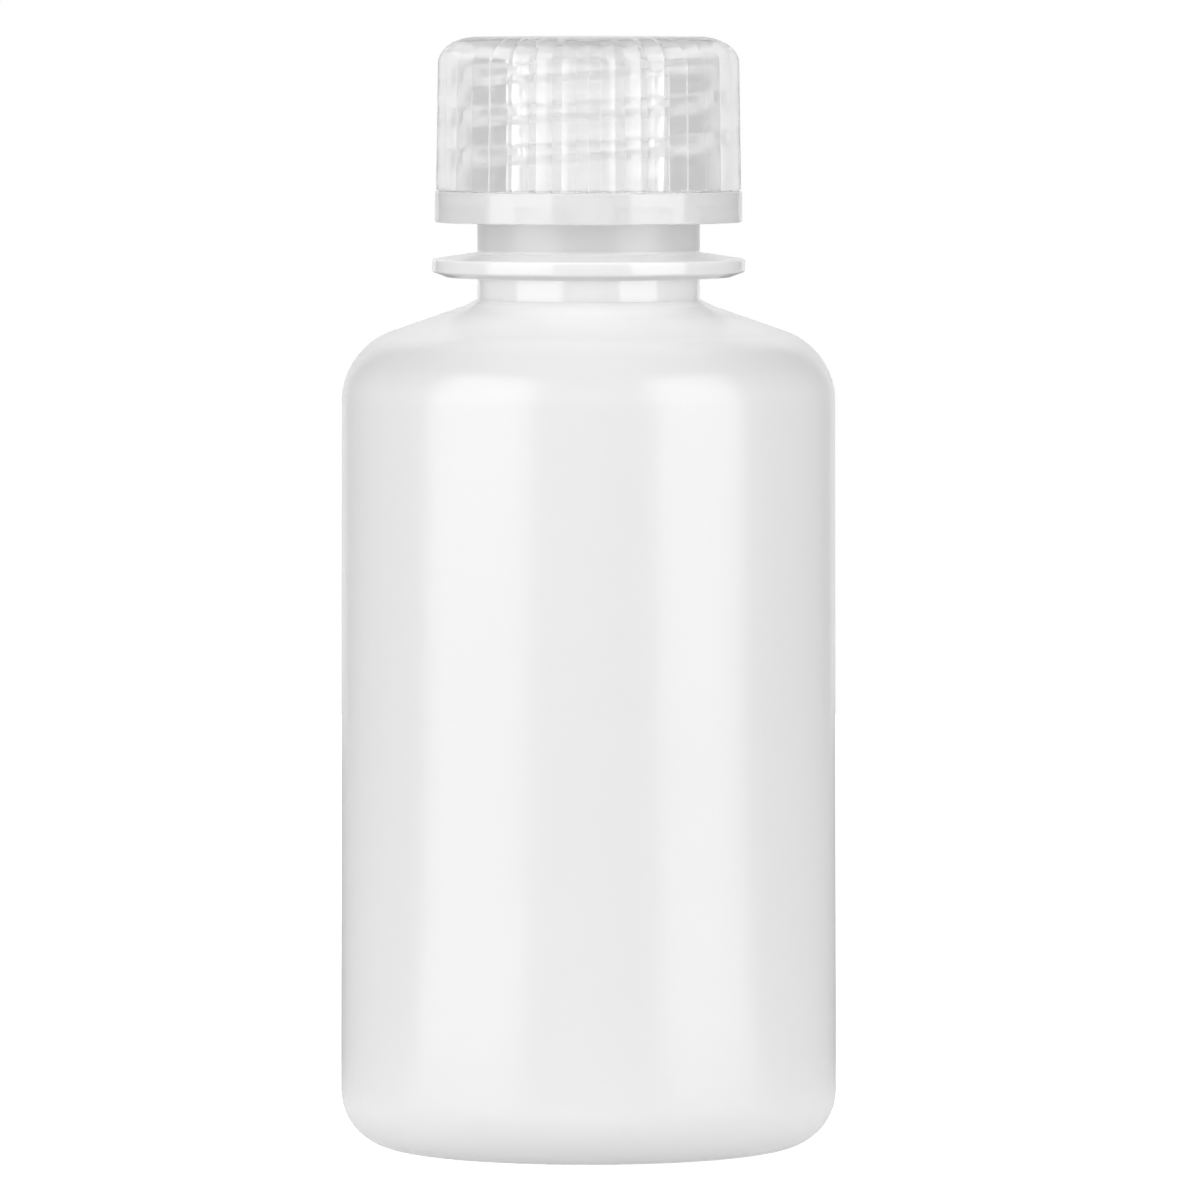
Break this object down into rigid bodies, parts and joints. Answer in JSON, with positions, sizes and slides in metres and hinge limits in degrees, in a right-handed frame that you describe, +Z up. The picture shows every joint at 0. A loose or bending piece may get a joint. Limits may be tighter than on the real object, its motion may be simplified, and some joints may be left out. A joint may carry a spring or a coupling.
{
  "type": "screw-cap plastic bottle",
  "caption": "Small round milky plastic bottle with a narrow flanged neck and a ribbed translucent screw cap with sealing disc and break-away band.",
  "frame": {"origin": "centre of the plane that the bottle stands on", "axes": "+Z up along the axis of the bottle and of its screw cap; the piece is round, so +X and +Y are any two directions square to it"},
  "size_m": [0.0392, 0.0392, 0.0878],
  "materials": {
    "bottle_plastic": "milky natural polyethylene, satin",
    "cap_plastic": "clear natural polypropylene, glossy",
    "disc_plastic": "soft natural polyethylene, satin",
    "band_plastic": "clear natural polypropylene, glossy"
  },
  "bodies": {
    "bottle": {"bottle_body": "bottle_plastic"},
    "seal": {"seal_disc": "disc_plastic"},
    "cap": {"cap_shell": "cap_plastic"},
    "band": {"tamper_band": "band_plastic"}
  },
  "joints": [
    {"name": "cap_lift", "type": "slide", "parent": "bottle", "child": "seal", "axis": [0, 0, 1], "range_m": [0, 0.0127]},
    {"name": "cap_turn", "type": "hinge", "parent": "seal", "child": "cap", "pos_m": [0, 0, 0.07573], "axis": [0, 0, 1], "range_deg": [0, 1440]},
    {"name": "band_drop", "type": "slide", "parent": "bottle", "child": "band", "axis": [0, 0, 1], "range_m": [-0.0025, 0]}
  ],
  "couplings": [
    {"joint": "cap_lift", "follows": "cap_turn", "m_per_rad": 0.00050532}
  ]
}
